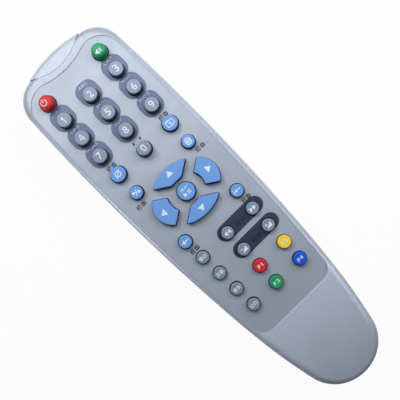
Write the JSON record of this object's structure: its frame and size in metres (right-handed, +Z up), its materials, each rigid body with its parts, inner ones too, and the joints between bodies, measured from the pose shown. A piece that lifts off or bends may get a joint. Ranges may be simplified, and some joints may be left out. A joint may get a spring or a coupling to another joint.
{
  "type": "remote control",
  "caption": "Hand-held infrared remote control with a tapering casing, sunk panel of push keys, nose window and sliding battery door.",
  "frame": {"origin": "on the flat underside, under the middle of the length and the width", "axes": "+Y towards the nose window, +Z up out of the key side, +X to the right seen from above"},
  "size_m": [0.055, 0.1956, 0.0243],
  "materials": {
    "silver_casing": "silver paint on moulded plastic, satin",
    "pale_window": "polished, lets infrared through",
    "mat_rubber": "moulded silicone",
    "board_laminate": "solder resist over laminate",
    "pad_metal": "plated copper foil",
    "clear_resin": "water clear resin",
    "black_resin": "moulded resin",
    "ceramic": "dipped ceramic",
    "can_metal": "drawn can",
    "screw_steel": "zinc plated",
    "cell_jacket": "printed sleeve, no marks",
    "plated_contact": "nickel plated spring steel",
    "red_key": "moulded, satin",
    "green_key": "moulded, satin",
    "yellow_key": "moulded, satin",
    "navy_key": "moulded, satin",
    "blue_key": "moulded, satin",
    "grey_key": "moulded, satin"
  },
  "bodies": {
    "casing": {"top_shell": "silver_casing", "bottom_shell": "silver_casing", "nose_window": "pale_window", "keypad_mat": "mat_rubber", "circuit_board": "board_laminate", "contact_pads": "pad_metal", "ir_led": "clear_resin", "controller_chip": "black_resin", "transistor": "black_resin", "resonator": "ceramic", "resistors": "ceramic", "capacitor": "can_metal", "case_screws": "screw_steel", "battery_left": "cell_jacket", "battery_right": "cell_jacket", "positive_plate": "plated_contact", "negative_plate": "plated_contact", "bridge_plate": "plated_contact", "negative_spring": "plated_contact", "bridge_spring": "plated_contact"},
    "key_power": {"key_power": "red_key"},
    "key_f1": {"key_f1": "red_key"},
    "key_mute": {"key_mute": "green_key"},
    "key_f3": {"key_f3": "green_key"},
    "key_f2": {"key_f2": "yellow_key"},
    "key_f4": {"key_f4": "navy_key"},
    "key_audio": {"key_audio": "blue_key"},
    "key_favourite": {"key_favourite": "blue_key"},
    "key_switch": {"key_switch": "blue_key"},
    "key_menu": {"key_menu": "blue_key"},
    "key_ok": {"key_ok": "blue_key"},
    "key_up": {"key_up": "blue_key"},
    "key_down": {"key_down": "blue_key"},
    "key_left": {"key_left": "blue_key"},
    "key_right": {"key_right": "blue_key"},
    "key_back": {"key_back": "blue_key"},
    "key_exit": {"key_exit": "blue_key"},
    "key_0": {"key_0": "grey_key"},
    "key_1": {"key_1": "grey_key"},
    "key_2": {"key_2": "grey_key"},
    "key_3": {"key_3": "grey_key"},
    "key_4": {"key_4": "grey_key"},
    "key_5": {"key_5": "grey_key"},
    "key_6": {"key_6": "grey_key"},
    "key_7": {"key_7": "grey_key"},
    "key_8": {"key_8": "grey_key"},
    "key_9": {"key_9": "grey_key"},
    "key_rewind": {"key_rewind": "grey_key"},
    "key_forward": {"key_forward": "grey_key"},
    "key_volume_down": {"key_volume_down": "grey_key"},
    "key_volume_up": {"key_volume_up": "grey_key"},
    "key_guide": {"key_guide": "grey_key"},
    "key_info": {"key_info": "grey_key"},
    "key_list": {"key_list": "grey_key"},
    "key_help": {"key_help": "grey_key"},
    "battery_door": {"battery_door": "silver_casing"}
  },
  "joints": [
    {"name": "press_power", "type": "slide", "parent": "casing", "child": "key_power", "axis": [0, 0, -1], "range_m": [0, 0.001], "stiffness_N_per_m": 300},
    {"name": "press_f1", "type": "slide", "parent": "casing", "child": "key_f1", "axis": [0, 0, -1], "range_m": [0, 0.001], "stiffness_N_per_m": 300},
    {"name": "press_mute", "type": "slide", "parent": "casing", "child": "key_mute", "axis": [0, 0, -1], "range_m": [0, 0.001], "stiffness_N_per_m": 300},
    {"name": "press_f3", "type": "slide", "parent": "casing", "child": "key_f3", "axis": [0, 0, -1], "range_m": [0, 0.001], "stiffness_N_per_m": 300},
    {"name": "press_f2", "type": "slide", "parent": "casing", "child": "key_f2", "axis": [0, 0, -1], "range_m": [0, 0.001], "stiffness_N_per_m": 300},
    {"name": "press_f4", "type": "slide", "parent": "casing", "child": "key_f4", "axis": [0, 0, -1], "range_m": [0, 0.001], "stiffness_N_per_m": 300},
    {"name": "press_audio", "type": "slide", "parent": "casing", "child": "key_audio", "axis": [0, 0, -1], "range_m": [0, 0.001], "stiffness_N_per_m": 300},
    {"name": "press_favourite", "type": "slide", "parent": "casing", "child": "key_favourite", "axis": [0, 0, -1], "range_m": [0, 0.001], "stiffness_N_per_m": 300},
    {"name": "press_switch", "type": "slide", "parent": "casing", "child": "key_switch", "axis": [0, 0, -1], "range_m": [0, 0.001], "stiffness_N_per_m": 300},
    {"name": "press_menu", "type": "slide", "parent": "casing", "child": "key_menu", "axis": [0, 0, -1], "range_m": [0, 0.001], "stiffness_N_per_m": 300},
    {"name": "press_ok", "type": "slide", "parent": "casing", "child": "key_ok", "axis": [0, 0, -1], "range_m": [0, 0.001], "stiffness_N_per_m": 300},
    {"name": "press_up", "type": "slide", "parent": "casing", "child": "key_up", "axis": [0, 0, -1], "range_m": [0, 0.001], "stiffness_N_per_m": 300},
    {"name": "press_down", "type": "slide", "parent": "casing", "child": "key_down", "axis": [0, 0, -1], "range_m": [0, 0.001], "stiffness_N_per_m": 300},
    {"name": "press_left", "type": "slide", "parent": "casing", "child": "key_left", "axis": [0, 0, -1], "range_m": [0, 0.001], "stiffness_N_per_m": 300},
    {"name": "press_right", "type": "slide", "parent": "casing", "child": "key_right", "axis": [0, 0, -1], "range_m": [0, 0.001], "stiffness_N_per_m": 300},
    {"name": "press_back", "type": "slide", "parent": "casing", "child": "key_back", "axis": [0, 0, -1], "range_m": [0, 0.001], "stiffness_N_per_m": 300},
    {"name": "press_exit", "type": "slide", "parent": "casing", "child": "key_exit", "axis": [0, 0, -1], "range_m": [0, 0.001], "stiffness_N_per_m": 300},
    {"name": "press_0", "type": "slide", "parent": "casing", "child": "key_0", "axis": [0, 0, -1], "range_m": [0, 0.001], "stiffness_N_per_m": 300},
    {"name": "press_1", "type": "slide", "parent": "casing", "child": "key_1", "axis": [0, 0, -1], "range_m": [0, 0.001], "stiffness_N_per_m": 300},
    {"name": "press_2", "type": "slide", "parent": "casing", "child": "key_2", "axis": [0, 0, -1], "range_m": [0, 0.001], "stiffness_N_per_m": 300},
    {"name": "press_3", "type": "slide", "parent": "casing", "child": "key_3", "axis": [0, 0, -1], "range_m": [0, 0.001], "stiffness_N_per_m": 300},
    {"name": "press_4", "type": "slide", "parent": "casing", "child": "key_4", "axis": [0, 0, -1], "range_m": [0, 0.001], "stiffness_N_per_m": 300},
    {"name": "press_5", "type": "slide", "parent": "casing", "child": "key_5", "axis": [0, 0, -1], "range_m": [0, 0.001], "stiffness_N_per_m": 300},
    {"name": "press_6", "type": "slide", "parent": "casing", "child": "key_6", "axis": [0, 0, -1], "range_m": [0, 0.001], "stiffness_N_per_m": 300},
    {"name": "press_7", "type": "slide", "parent": "casing", "child": "key_7", "axis": [0, 0, -1], "range_m": [0, 0.001], "stiffness_N_per_m": 300},
    {"name": "press_8", "type": "slide", "parent": "casing", "child": "key_8", "axis": [0, 0, -1], "range_m": [0, 0.001], "stiffness_N_per_m": 300},
    {"name": "press_9", "type": "slide", "parent": "casing", "child": "key_9", "axis": [0, 0, -1], "range_m": [0, 0.001], "stiffness_N_per_m": 300},
    {"name": "press_rewind", "type": "slide", "parent": "casing", "child": "key_rewind", "axis": [0, 0, -1], "range_m": [0, 0.001], "stiffness_N_per_m": 300},
    {"name": "press_forward", "type": "slide", "parent": "casing", "child": "key_forward", "axis": [0, 0, -1], "range_m": [0, 0.001], "stiffness_N_per_m": 300},
    {"name": "press_volume_down", "type": "slide", "parent": "casing", "child": "key_volume_down", "axis": [0, 0, -1], "range_m": [0, 0.001], "stiffness_N_per_m": 300},
    {"name": "press_volume_up", "type": "slide", "parent": "casing", "child": "key_volume_up", "axis": [0, 0, -1], "range_m": [0, 0.001], "stiffness_N_per_m": 300},
    {"name": "press_guide", "type": "slide", "parent": "casing", "child": "key_guide", "axis": [0, 0, -1], "range_m": [0, 0.001], "stiffness_N_per_m": 300},
    {"name": "press_info", "type": "slide", "parent": "casing", "child": "key_info", "axis": [0, 0, -1], "range_m": [0, 0.001], "stiffness_N_per_m": 300},
    {"name": "press_list", "type": "slide", "parent": "casing", "child": "key_list", "axis": [0, 0, -1], "range_m": [0, 0.001], "stiffness_N_per_m": 300},
    {"name": "press_help", "type": "slide", "parent": "casing", "child": "key_help", "axis": [0, 0, -1], "range_m": [0, 0.001], "stiffness_N_per_m": 300},
    {"name": "door_slide", "type": "slide", "parent": "casing", "child": "battery_door", "axis": [0, -1, 0], "range_m": [0, 0.06]}
  ]
}
